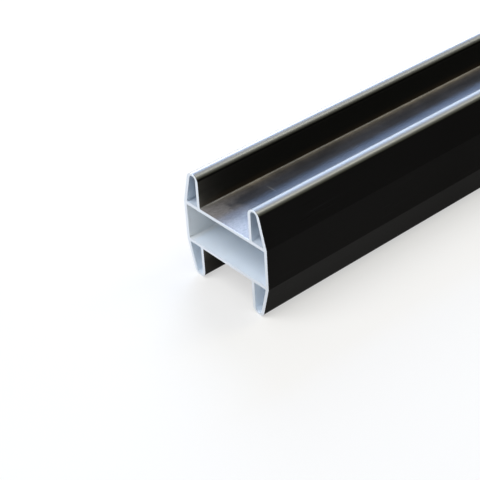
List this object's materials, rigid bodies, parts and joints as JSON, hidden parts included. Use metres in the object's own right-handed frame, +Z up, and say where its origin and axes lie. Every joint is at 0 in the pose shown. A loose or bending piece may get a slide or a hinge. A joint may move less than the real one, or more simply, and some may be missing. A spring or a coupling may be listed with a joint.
{
  "type": "aluminium h-profile extrusion",
  "caption": "Black-coated aluminium extrusion of hollow H section, a straight bar with a panel groove above and below its web and round-nosed hollow legs.",
  "frame": {"origin": "on the floor, below the middle of the bar", "axes": "+Y along the bar, away from the end that the picture shows; +Z up, square to the web; +X across the section"},
  "size_m": [0.04, 1, 0.0396],
  "materials": {
    "coated_aluminium": "black semi-gloss coat on the outside faces; sawn ends and chamber walls are bare silver aluminium"
  },
  "bodies": {
    "root": {"h_profile": "coated_aluminium"}
  },
  "joints": []
}
